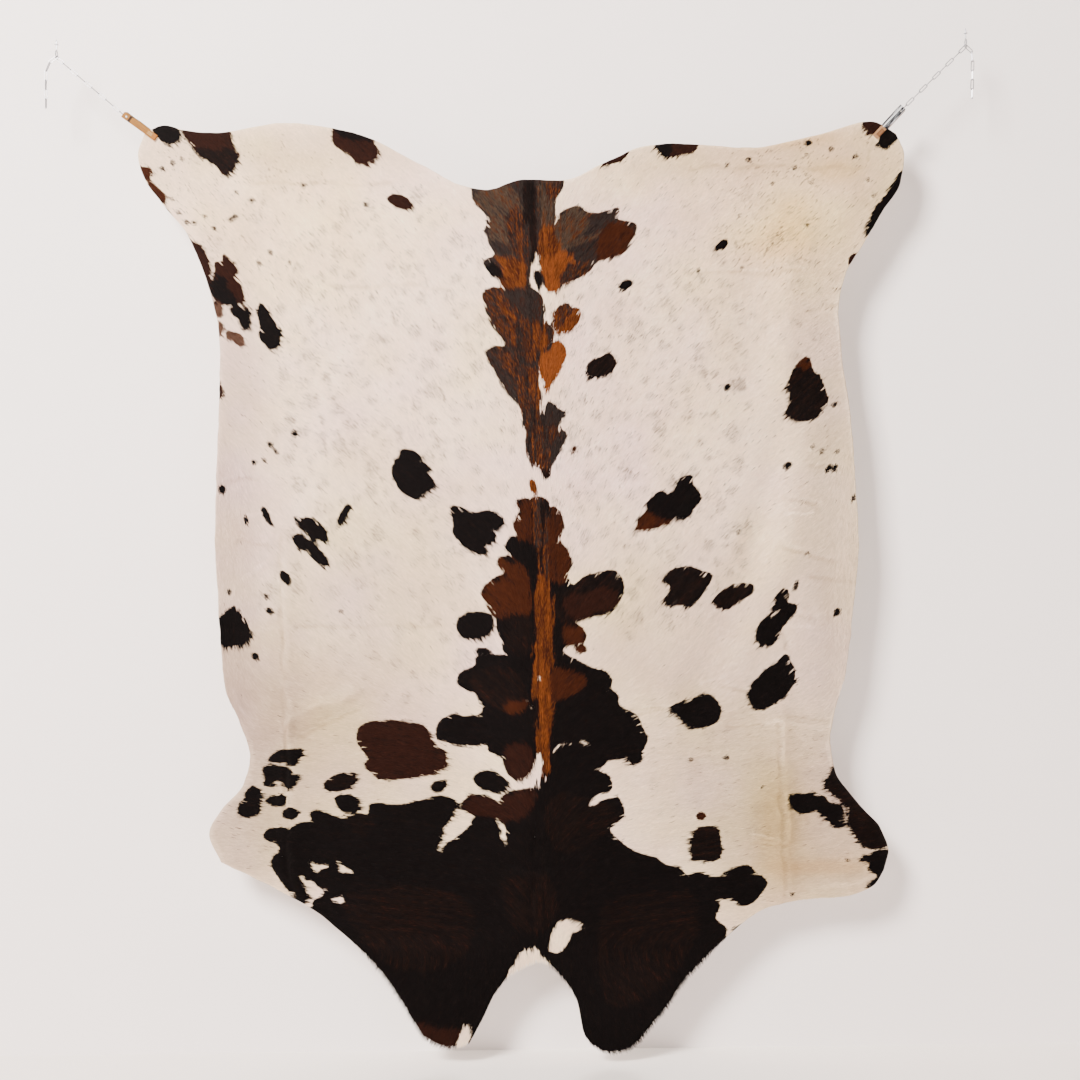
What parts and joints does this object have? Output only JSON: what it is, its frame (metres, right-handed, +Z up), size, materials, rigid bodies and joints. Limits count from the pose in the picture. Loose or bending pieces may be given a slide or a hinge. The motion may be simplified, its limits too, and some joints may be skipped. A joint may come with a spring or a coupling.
{
  "type": "cowhide rug with hanging clips, chains and hooks",
  "caption": "Whole hair-on cowhide hung face-on by its forelegs from wood and steel spring clips, each tied by a short steel chain to a cup hook that screws up into a beam.",
  "frame": {"origin": "centre of the left cup hook's flange, on the face that meets the beam it screws into", "axes": "+Z up, -Y out of the hair side towards the viewer, +X to the viewer's right along the beam"},
  "size_m": [2.2607, 0.0299, 2.4688],
  "materials": {
    "hide": "short glossy hair, cream with black and brown patches; suede back",
    "clip_wood": "satin lacquer",
    "clip_chrome": "polished",
    "rivet_steel": "polished",
    "eye_steel": "dark oiled",
    "chain_steel": "bright zinc",
    "hook_steel": "bright zinc"
  },
  "bodies": {
    "root": {"hide": "hide", "clip_left_jaw_front": "clip_wood", "clip_left_jaw_back": "clip_wood", "clip_left_spring": "clip_chrome", "clip_left_rivet": "rivet_steel", "clip_left_eye": "eye_steel", "clip_right_jaw_front": "clip_wood", "clip_right_jaw_back": "clip_wood", "clip_right_spring": "clip_chrome", "clip_right_rivet": "rivet_steel", "clip_right_eye": "eye_steel", "chain_left_1": "chain_steel", "chain_left_2": "chain_steel", "chain_left_3": "chain_steel", "chain_left_4": "chain_steel", "chain_left_5": "chain_steel", "chain_left_6": "chain_steel", "chain_left_7": "chain_steel", "chain_left_8": "chain_steel", "chain_left_9": "chain_steel", "chain_right_1": "chain_steel", "chain_right_2": "chain_steel", "chain_right_3": "chain_steel", "chain_right_4": "chain_steel", "chain_right_5": "chain_steel", "chain_right_6": "chain_steel", "chain_right_7": "chain_steel", "chain_right_8": "chain_steel", "chain_right_9": "chain_steel", "chain_left_tail_1": "chain_steel", "chain_left_tail_2": "chain_steel", "chain_left_tail_3": "chain_steel", "chain_left_tail_4": "chain_steel", "chain_left_tail_5": "chain_steel", "chain_left_tail_6": "chain_steel", "chain_right_tail_1": "chain_steel", "chain_right_tail_2": "chain_steel", "chain_right_tail_3": "chain_steel", "chain_right_tail_4": "chain_steel", "chain_right_tail_5": "chain_steel", "chain_right_tail_6": "chain_steel", "hook_left": "hook_steel", "hook_right": "hook_steel"}
  },
  "joints": []
}
